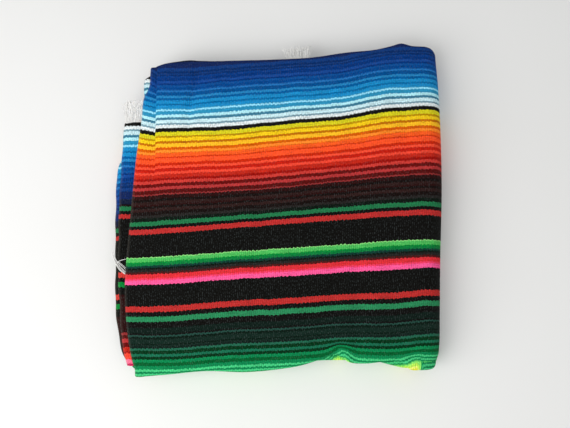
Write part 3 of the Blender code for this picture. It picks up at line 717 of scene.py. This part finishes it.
def innerLip(station, side, angle):
    angles = innerPacks["innerAngles"]
    middle = angle == angles[-1]
    column = station.column
    inset = (packet["insetTopInner"] + packet["insetBottomInner"]) / 2 if middle else station.innerInset
    centre = lipCentre(column, side, 0.5 if middle else station.lowered, inset)
    outerCentre = centre if middle else station.centre(side)
    pack = station.pack(outerCentre)
    turn = math.radians(angle)
    inward = 2 * pack if middle else pack + pack / 2 * (1 - math.cos(turn))
    return station.point(centre + side * packet["lipReach"] * math.sin(turn), inward, outerCentre)


def groovePoint(station, side):
    centre = station.centre(side)
    return station.point(centre + side * packet["grooveReach"], station.pack(centre), centre)


def flatUv(grid):
    return np.stack([grid[..., 0] + 0.2, chartAt(grid[..., 0], grid[..., 1])], -1)


def makeInnerPacks(material):
    size = innerPacks
    places = np.linspace(0, 1, size["depthSteps"])
    path = [s for s in pathRoundPacket(size["stationStep"]) if s.column.across >= packet["recessAt"] - 1e-9]
    toeStart = next(i for i, s in enumerate(path) if isinstance(s.column, ToeColumn))
    main, last = path[:toeStart], path[toeStart - 1]
    angles, innerAngles = size["lipAngles"], size["innerAngles"]

    frontEnd, backEnd = (innerLip(last, side, innerAngles[-1]) for side in (-1, 1))
    y = mix(frontEnd[1], backEnd[1], places)
    x = last.column.x(y)
    middle = np.stack([x, y, last.column.height(x, y) / 2], -1)
    middle[0], middle[-1] = frontEnd, backEnd

    shells = [sectionOf(s, size["under"], places, angles) for s in path]
    count = len(angles) - 1
    angleShares = np.linspace(0, 1, len(innerAngles) - 1)
    endAngles = np.interp(np.linspace(0, 1, count), angleShares, innerAngles[:-1])
    endFront = np.array([innerLip(last, -1, a) for a in endAngles])
    endBack = np.array([innerLip(last, 1, a) for a in endAngles[::-1]])
    shellGrid = np.array(shells + [np.vstack([endFront, middle, endBack])])
    patches = [(shellGrid, flatUv(shellGrid))]

    run = arcLength(np.array([s.point(0.0, 0.0, 0.0).reshape(3) for s in main]), 0)
    for side, end in ((-1, 0), (1, -1)):
        rim = [shell[end] for shell in shells] + [innerLip(last, side, innerAngles[0])]
        grooves = [groovePoint(s, side) for s in path] + [groovePoint(last, side)]
        strip = np.array([rim, grooves])
        patches.append((strip, flatUv(strip)))
        lobe = np.array([[groovePoint(s, side) for s in main]]
                        + [[innerLip(s, side, a) for s in main] for a in innerAngles])
        length = arcLength(lobe, 0)
        base = np.array([float(chartAt(s.column.x(s.centre(side)), s.centre(side))) for s in main])
        chartPlace = base - side * (length[-1] - length)
        patches.append((lobe, np.stack([np.broadcast_to(run, chartPlace.shape), chartPlace], -1)))

    wall = recessWall(main[0], middle, places)
    wallUv = np.stack([wall[..., 2] + 0.1, chartAt(wall[..., 0], wall[..., 1])], -1)
    patches.append((wall, wallUv))
    return joinedPatches("innerPacks", patches, material)


def recessWall(station, middle, places):  # the upright face of the upper packs behind the leaves
    flat = sectionOf(station, innerPacks["under"], places, (0, 1))[1:-1]
    lips = sectionOf(station, innerPacks["under"], places, innerPacks["lipAngles"])
    count = len(innerPacks["lipAngles"]) - 1
    ends = [(lips[count - i], lips[-1 - count + i]) for i in range(1, count + 1)]
    ends.append((groovePoint(station, -1), groovePoint(station, 1)))
    ends += [(innerLip(station, -1, a), innerLip(station, 1, a)) for a in innerPacks["innerAngles"][:-1]]
    rows = [flat]
    for front, back in ends:
        share = [p[2] / float(station.column.height(station.column.x(p[1]), p[1])) for p in (front, back)]
        y = flat[:, 1]
        x = station.column.x(y)
        row = np.stack([x, y, station.column.height(x, y) * sum(share) / 2], -1)
        row[0], row[-1] = front, back
        rows.append(row)
    rows.append(middle)
    return np.array(rows)


# the leaves of the open side, from the lowest up
lowLeafEdge = (  # y, x
    (-0.181, -0.179), (-0.167, -0.187), (-0.141, -0.193), (-0.106, -0.197), (-0.057, -0.1995),
    (0.011, -0.2025), (0.050, -0.2030), (0.064, -0.2000), (0.080, -0.190), (0.110, -0.183),
    (0.145, -0.167), (0.180, -0.158),
)
endLeafEdge = (  # y, x
    (-0.182, -0.178), (-0.150, -0.186), (-0.106, -0.190), (-0.040, -0.1945), (0.060, -0.1955),
    (0.116, -0.1945),
)
hookLeafEdge = (  # y, x
    (-0.185, -0.162), (-0.120, -0.174), (0.000, -0.172), (0.100, -0.166), (0.140, -0.167),
    (0.158, -0.171), (0.169, -0.1715), (0.1735, -0.1700), (0.178, -0.162),
)
underLeafEdge = (  # y, x
    (-0.185, -0.174), (-0.150, -0.181), (-0.100, -0.185), (0.000, -0.188), (0.060, -0.186),
    (0.100, -0.180), (0.130, -0.170), (0.160, -0.160), (0.185, -0.154),
)
leaves = (  # piece, node, selvedge, moved inwards, back end, y of the pattern's black divider
    ("lowLeaf", "low_leaf", lowLeafEdge, 0.0, 1.0, 0.0895),
    ("underLeaf1", "under_leaf_1", underLeafEdge, -0.0020, 1.0, 0.094),
    ("underLeaf2", "under_leaf_2", underLeafEdge, 0.0035, 1.0, 0.088),
    ("underLeaf3", "under_leaf_3", underLeafEdge, 0.0005, 1.0, 0.101),
    ("endLeaf", "end_leaf", endLeafEdge, 0.0, 0.116, 0.1155),
    ("underLeaf4", "under_leaf_4", topSelvedge, 0.0060, 1.0, 0.128),
    ("underLeaf5", "under_leaf_5", topSelvedge, 0.0015, 1.0, 0.140),
    ("underLeaf6", "under_leaf_6", topSelvedge, 0.0080, 1.0, 0.158),
    ("hookLeaf", "hook_leaf", hookLeafEdge, 0.0, 1.0, 0.1765),
)
leafLay = {
    "clearance": 0.0018,
    "columns": 16,
    "rows": 150,
    "chartAtDivider": 0.0839,
    "chartPerMetre": 0.930,
    "shrunkFrom": 0.103,  # beyond this the leaves are a little tighter
    "shrink": 0.047,
    "frontY": -0.1825,
    "waveHeight": 0.00035,
    "droop": 0.0016,
}


def leafLevel(column, y, x, level):
    whole = column.height(x, y)
    place = np.clip((y - column.frontLip) / (column.backLip - column.frontLip), 0.0, 1.0)
    top = whole - creaseDrop(np.float64(tuckAcross), place) - packet["wall"] - 2 * packet["gap"]
    bottom = whole / 2 + 2 * packet["gap"]
    pitch = (top - bottom) / packet["leafCount"]
    low = bottom + pitch * level
    return low, low + pitch - packet["gap"]


def leafEnd(side, level):
    columns = [Column(across) for across in (0.0, packet["recessAt"])]
    centre = min((lipCentre(column, side, 0.0, packet["insetTopInner"]) for column in columns), key=abs)
    share = (level + 0.5) / packet["leafCount"] * 2.0
    reach = packet["lipReach"] * math.sqrt(max(0.0, 1.0 - (2.0 * (share % 1.0) - 1.0) ** 2))
    if share > 1.0:
        reach = max(reach - packet["wall"] - 2 * packet["gap"], 0.0) * 0.5
    return centre + side * reach


def leafShift(x, y, share):  # the leaves wave a little and droop beyond the lower packs
    wave = leafLay["waveHeight"] * np.sin(y / 0.019 + 0.8 * np.sin(y / 0.05)) * share ** 2
    outside = np.clip((along(leftFold, y) + 0.004 - x) / 0.012, 0.0, 1.0)
    return wave - leafLay["droop"] * outside ** 2


def makeLeaf(level, leaf, material):
    name, _, edge, inward, backEnd, dividerY = leaf
    column = Column(packet["recessAt"])
    frontY, backY = max(leafEnd(-1, level), leafLay["frontY"]), min(leafEnd(1, level), backEnd)
    y = np.linspace(frontY, backY, leafLay["rows"])[:, None]
    innerX = column.x(np.clip(y, column.frontLip, column.backLip)) - leafLay["clearance"]
    edgeX = along(edge, y) + inward
    edgeX = edgeX + 0.00045 * np.sin(y / 0.0062 + 1.7 * level) + 0.0003 * np.sin(y / 0.0145 + level)
    share = np.linspace(1.0, 0.0, leafLay["columns"])[None, :]
    x = mix(innerX, edgeX, share)
    low, high = leafLevel(column, y, x, level)
    shift = leafShift(x, y, share)
    low, high = low + shift, high + shift
    grid = np.broadcast_arrays(x, y, high)
    outer = np.stack(grid, -1).astype(float)
    inner = np.stack([grid[0], grid[1], np.broadcast_to(low, grid[2].shape)], -1).astype(float)
    chartPlace = leafLay["chartAtDivider"] - (dividerY - y) * leafLay["chartPerMetre"]
    chartPlace = chartPlace - np.maximum(dividerY - y - leafLay["shrunkFrom"], 0.0) * leafLay["shrink"]
    uv = np.stack([arcLength(outer, 1), np.broadcast_to(chartPlace, x.shape)], -1)
    piece = closedSheet(name, outer, inner, uv, material)
    return piece, (float((x[:, -1] - x[:, 0]).max()), backY - frontY)


# fringe: twisted two-ply warp ends
yarn = {
    "radius": 0.00048,
    "twistPitch": 0.0042,
    "sample": 0.0008,
}


def makeYarnTree(name):
    tree = bpy.data.node_groups.new(name, "GeometryNodeTree")
    face = tree.interface
    face.new_socket("Strands", in_out="INPUT", socket_type="NodeSocketGeometry")
    for label in ("Ply Radius", "Twist Pitch", "Sample Length", "Wander"):
        face.new_socket(label, in_out="INPUT", socket_type="NodeSocketFloat")
    face.new_socket("Seed", in_out="INPUT", socket_type="NodeSocketFloat")
    face.new_socket("Yarn Material", in_out="INPUT", socket_type="NodeSocketMaterial")
    face.new_socket("Yarn", in_out="OUTPUT", socket_type="NodeSocketGeometry")
    nodes, links = tree.nodes, tree.links
    given = nodes.new("NodeGroupInput")
    result = nodes.new("NodeGroupOutput")
    toCurve = nodes.new("GeometryNodeMeshToCurve")
    links.new(given.outputs["Strands"], toCurve.inputs["Mesh"])
    resample = nodes.new("GeometryNodeResampleCurve")
    resample.mode = "LENGTH"
    links.new(toCurve.outputs[0], resample.inputs["Curve"])
    links.new(given.outputs["Sample Length"], resample.inputs["Length"])

    # loose ends wander more towards the tip
    spline = nodes.new("GeometryNodeSplineParameter")
    noise = nodes.new("ShaderNodeTexNoise")
    noise.noise_dimensions = "4D"
    noise.inputs["Scale"].default_value = 130.0
    noise.inputs["Detail"].default_value = 1.0
    links.new(given.outputs["Seed"], noise.inputs["W"])
    centred = nodes.new("ShaderNodeVectorMath")
    centred.operation = "SUBTRACT"
    centred.inputs[1].default_value = (0.5, 0.5, 0.5)
    links.new(noise.outputs["Color"], centred.inputs[0])
    growth = maths(nodes, links, "MULTIPLY", spline.outputs["Factor"], given.outputs["Wander"])
    scaled = nodes.new("ShaderNodeVectorMath")
    scaled.operation = "SCALE"
    links.new(centred.outputs[0], scaled.inputs[0])
    links.new(growth, scaled.inputs["Scale"])
    move = nodes.new("GeometryNodeSetPosition")
    links.new(resample.outputs[0], move.inputs["Geometry"])
    links.new(scaled.outputs[0], move.inputs["Offset"])

    tilt = nodes.new("GeometryNodeSetCurveTilt")
    turn = maths(nodes, links, "DIVIDE", spline.outputs["Length"], given.outputs["Twist Pitch"])
    turn = maths(nodes, links, "MULTIPLY", turn, 2 * math.pi)
    links.new(move.outputs[0], tilt.inputs["Curve"])
    links.new(turn, tilt.inputs["Tilt"])

    plies = nodes.new("GeometryNodeJoinGeometry")
    for side in (-1.0, 1.0):
        circle = nodes.new("GeometryNodeCurvePrimitiveCircle")
        circle.inputs["Resolution"].default_value = 6
        links.new(given.outputs["Ply Radius"], circle.inputs["Radius"])
        place = nodes.new("ShaderNodeCombineXYZ")
        offset = maths(nodes, links, "MULTIPLY", given.outputs["Ply Radius"], 0.85 * side)
        links.new(offset, place.inputs[0])
        shift = nodes.new("GeometryNodeTransform")
        links.new(circle.outputs[0], shift.inputs["Geometry"])
        links.new(place.outputs[0], shift.inputs["Translation"])
        links.new(shift.outputs[0], plies.inputs[0])
    sweep = nodes.new("GeometryNodeCurveToMesh")
    sweep.inputs["Fill Caps"].default_value = True
    links.new(tilt.outputs[0], sweep.inputs["Curve"])
    links.new(plies.outputs[0], sweep.inputs["Profile Curve"])
    smooth = nodes.new("GeometryNodeSetShadeSmooth")
    realize = nodes.new("GeometryNodeRealizeInstances")
    finish = nodes.new("GeometryNodeSetMaterial")
    links.new(sweep.outputs[0], smooth.inputs[0])
    links.new(smooth.outputs[0], realize.inputs[0])
    links.new(realize.outputs[0], finish.inputs["Geometry"])
    links.new(given.outputs["Yarn Material"], finish.inputs["Material"])
    links.new(finish.outputs[0], result.inputs[0])
    return tree


def growYarn(name, strands, seed, wander, material, tree):
    points, edges = [], []
    for strand in strands:
        first = len(points)
        points += [tuple(np.asarray(p) - (*packet["centre"], 0.0)) for p in strand]
        edges += [(first + i, first + i + 1) for i in range(len(strand) - 1)]
    mesh = bpy.data.meshes.new(name)
    mesh.from_pydata(points, edges, [])
    piece = bpy.data.objects.new(name, mesh)
    bpy.context.scene.collection.objects.link(piece)
    modifier = piece.modifiers.new("yarn", "NODES")
    modifier.node_group = tree
    values = {"Ply Radius": yarn["radius"] / 2 * 1.1, "Twist Pitch": yarn["twistPitch"],
              "Sample Length": yarn["sample"], "Wander": wander, "Seed": seed,
              "Yarn Material": material}
    for item in tree.interface.items_tree:
        if item.in_out == "INPUT" and item.name in values:
            modifier[item.identifier] = values[item.name]
    graph = bpy.context.evaluated_depsgraph_get()
    grown = bpy.data.meshes.new_from_object(piece.evaluated_get(graph))
    piece.modifiers.clear()
    piece.data = grown
    grown.name = name
    return piece


def makeYarnMaterial():
    material, nodes, links, shader = newMaterial("creamYarn")
    place = nodes.new("ShaderNodeTexCoord")
    noise = nodes.new("ShaderNodeTexNoise")
    noise.inputs["Scale"].default_value = 900.0
    noise.inputs["Detail"].default_value = 2.0
    links.new(place.outputs["Object"], noise.inputs["Vector"])
    colour = mixColour(nodes, links, noise.outputs["Fac"], (0.93, 0.91, 0.87, 1), (1.0, 0.99, 0.97, 1))
    links.new(colour, shader.inputs["Base Color"])
    bump = nodes.new("ShaderNodeBump")
    bump.inputs["Strength"].default_value = 0.2
    bump.inputs["Distance"].default_value = 0.0002
    links.new(noise.outputs["Fac"], bump.inputs["Height"])
    links.new(bump.outputs[0], shader.inputs["Normal"])
    shader.inputs["Roughness"].default_value = 0.9
    shader.inputs["Specular IOR Level"].default_value = 0.2
    shader.inputs["Sheen Weight"].default_value = 0.5
    return material


endFringe = {
    "fromX": -0.1945, "toX": -0.1600, "y": 0.1165, "count": 84, "length": 0.0285,
    "uneven": 0.15, "spread": 0.0026, "lift": 0.0012, "wander": 0.009,
    "curls": (  # root, run and bow of the loose ends that cross the tuft
        ((-0.1885, 0.1450, 0.0285), (-0.0105, -0.0035, -0.0030), -0.0016),
        ((-0.1880, 0.1440, 0.0280), (-0.0100, -0.0030, -0.0020), -0.0020),
        ((-0.1890, 0.1444, 0.0290), (-0.0090, -0.0038, -0.0030), -0.0010),
    ),
}
backFringe = {
    "fromX": 0.0130, "toX": 0.0380, "inGroove": 0.0045, "count": 60, "length": 0.0245,
    "uneven": 0.15, "spread": 0.0020, "wander": 0.007,
}
sideThreads = {
    "wander": 0.0018,
    "strands": (  # root y, tip x, tip y, bow, lift
        (-0.0792, -0.2024, -0.0490, 0.0056, 0.0), (-0.0787, -0.2022, -0.0480, 0.0052, 0.0006),
        (-0.0782, -0.2012, -0.0490, 0.0049, 0.0), (-0.0774, -0.2004, -0.0478, 0.0046, 0.0005),
        (-0.0770, -0.2000, -0.0500, 0.0036, 0.0), (-0.0762, -0.1945, -0.0600, 0.0002, 0.0004),
        (-0.0752, -0.1940, -0.0594, -0.0003, 0.0), (-0.0558, -0.1942, -0.0602, -0.0010, 0.0),
    ),
}


def strandPath(root, run, fall, bow=0.0, steps=9):
    share = np.linspace(0.0, 1.0, steps)[:, None]
    root, run = np.array(root, float), np.array(run, float)
    beside = np.array([-run[1], run[0], 0.0]) / math.hypot(run[0], run[1])
    path = root + run * share + beside * bow * np.sin(share * math.pi)
    path[:, 2] -= fall * share[:, 0] ** 2
    return path


def endFringeStrands(rng):
    size = endFringe
    level = next(i for i, leaf in enumerate(leaves) if leaf[1] == "end_leaf")
    column = Column(packet["recessAt"])
    strands = []
    for i in range(size["count"]):
        share = i / (size["count"] - 1)
        x = mix(size["fromX"], size["toX"], share)
        low, high = leafLevel(column, size["y"], x, level)
        length = size["length"] * (1.0 + size["uneven"] * rng.uniform(-1.6, 1.0))
        runX = mix(-0.0010, 0.0075, share) + rng.normal(0, size["spread"])
        fall = mix(0.0030, 0.0, float(smoothStep(share * 2.5))) - rng.uniform(0, size["lift"])
        root = (x, size["y"] - 0.001, float(low + high) / 2 + rng.normal(0, 0.0002))
        strands.append(strandPath(root, (runX, length, 0.0), fall, rng.normal(0, 0.0021)))
    strands += [strandPath(root, run, 0.0, bow) for root, run, bow in size["curls"]]
    return strands


def backFringeStrands(rng):
    size = backFringe
    column = Column(packet["recessAt"])
    top = float(column.height(np.float64(0.026), column.backLip))
    strands = []
    for i in range(size["count"]):
        share = i / (size["count"] - 1)
        x = mix(size["fromX"], size["toX"], share)
        y = float(along(backEdge, x)) - packet["lipReach"] + size["inGroove"]
        length = size["length"] * (1.0 + size["uneven"] * rng.uniform(-1.5, 1.0))
        run = (mix(-0.006, 0.004, share) + rng.normal(0, size["spread"]), length, 0.0)
        strands.append(strandPath((x, y, top - 0.0111), run, 0.0085, rng.normal(0, 0.0018)))
    return strands


def sideThreadStrands():  # they lie on the end leaf and run out over its selvedge
    level = next(i for i, leaf in enumerate(leaves) if leaf[1] == "end_leaf")
    column = Column(packet["recessAt"])
    strands = []
    for rootY, tipX, tipY, bow, lift in sideThreads["strands"]:
        rootX = float(along(topSelvedge, rootY)) + 0.0048
        path = strandPath((rootX, rootY, 0.0), (tipX - rootX, tipY - rootY, 0.0), 0.0, bow, 15)
        x, y = path[:, 0], path[:, 1]
        innerX = column.x(y) - leafLay["clearance"]
        share = np.clip((innerX - x) / (innerX - along(endLeafEdge, y)), 0.0, 1.0)
        path[:, 2] = leafLevel(column, y, x, level)[1] + leafShift(x, y, share) + yarn["radius"] * 1.1 + lift
        strands.append(path)
    return strands


# stage, light and camera
stage = {
    "floorSize": 6.0,
    "cameraPlace": (0.00823, -0.14728, 0.77228),
    "cameraTilt": 10.0,
    "cameraView": 50.0,  # degrees across the frame
    "worldColour": (0.93, 0.95, 0.96, 1.0),
    "worldStrength": 0.52,
    "ceilingPlace": (0.0, -0.45, 1.5),
    "ceilingSize": 1.8,
    "ceilingPower": 7.0,
    "keyPlace": (-0.95, -0.60, 1.02),
    "keySize": 1.2,
    "keyPower": 15.5,
}


def makeFloor():
    material, nodes, links, shader = newMaterial("paperFloor")
    place = nodes.new("ShaderNodeTexCoord")
    noise = nodes.new("ShaderNodeTexNoise")
    noise.inputs["Scale"].default_value = 3.0
    links.new(place.outputs["Object"], noise.inputs["Vector"])
    colour = mixColour(nodes, links, noise.outputs["Fac"], (0.80, 0.79, 0.77, 1), (0.85, 0.845, 0.83, 1))
    links.new(colour, shader.inputs["Base Color"])
    shader.inputs["Roughness"].default_value = 0.8
    half = stage["floorSize"] / 2
    mesh = bpy.data.meshes.new("floor")
    corners = [(-half, -half, 0), (half, -half, 0), (half, half, 0), (-half, half, 0)]
    mesh.from_pydata(corners, [], [(0, 1, 2, 3)])
    mesh.materials.append(material)
    floor = bpy.data.objects.new("floor", mesh)
    bpy.context.scene.collection.objects.link(floor)


def aimAt(piece, target):
    run = [t - p for t, p in zip(target, piece.location)]
    piece.rotation_euler = (math.atan2(math.hypot(run[0], run[1]), -run[2]), 0.0, math.atan2(-run[0], run[1]))


def makeStage():
    makeFloor()
    scene = bpy.context.scene
    camera = bpy.data.objects.new("camera", bpy.data.cameras.new("camera"))
    camera.location = stage["cameraPlace"]
    camera.rotation_euler = (math.radians(stage["cameraTilt"]), 0.0, 0.0)
    camera.data.sensor_width = 36.0
    camera.data.lens = 18.0 / math.tan(math.radians(stage["cameraView"] / 2))
    camera.data.clip_start = 0.01
    scene.collection.objects.link(camera)
    scene.camera = camera
    for name, label in (("window", "key"), ("ceiling", "ceiling")):
        light = bpy.data.lights.new(name, "AREA")
        light.size = stage[f"{label}Size"]
        light.energy = stage[f"{label}Power"]
        lamp = bpy.data.objects.new(name, light)
        lamp.location = stage[f"{label}Place"]
        aimAt(lamp, (0.0, 0.0, 0.0))
        scene.collection.objects.link(lamp)
    world = bpy.data.worlds.new("room")
    world.use_nodes = True
    background = world.node_tree.nodes["Background"]
    background.inputs["Color"].default_value = stage["worldColour"]
    background.inputs["Strength"].default_value = stage["worldStrength"]
    scene.world = world
    scene.view_settings.view_transform = "Standard"
    scene.view_settings.look = "None"


def setPiece(piece, node):
    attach(piece, "root")
    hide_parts(node)


def main():
    makeStage()
    print("stage ready")
    weaveMaterial = makeSerapeWeave()
    yarnMaterial = makeYarnMaterial()
    outer, outerFlat = makeOuterCloth(weaveMaterial)
    setPiece(outer, "outer_layer")
    print("outer cloth ready", [round(v, 3) for v in outerFlat])
    inner = makeInnerPacks(weaveMaterial)
    setPiece(inner, "folded_layers")
    print("inner packs ready")
    for level, leaf in enumerate(leaves):
        piece, flat = makeLeaf(level, leaf, weaveMaterial)
        setPiece(piece, leaf[1])
    print("leaves ready")
    tree = makeYarnTree("twistedYarn")
    rng = np.random.default_rng(7)
    for name, node, strands, seed, wander in (
        ("endFringe", "end_fringe", endFringeStrands(rng), 1.0, endFringe["wander"]),
        ("backFringe", "back_fringe", backFringeStrands(rng), 2.0, backFringe["wander"]),
        ("sideThreads", "side_threads", sideThreadStrands(), 3.0, sideThreads["wander"]),
    ):
        setPiece(growYarn(name, strands, seed, wander, yarnMaterial, tree), node)
    print("fringe ready")


main()
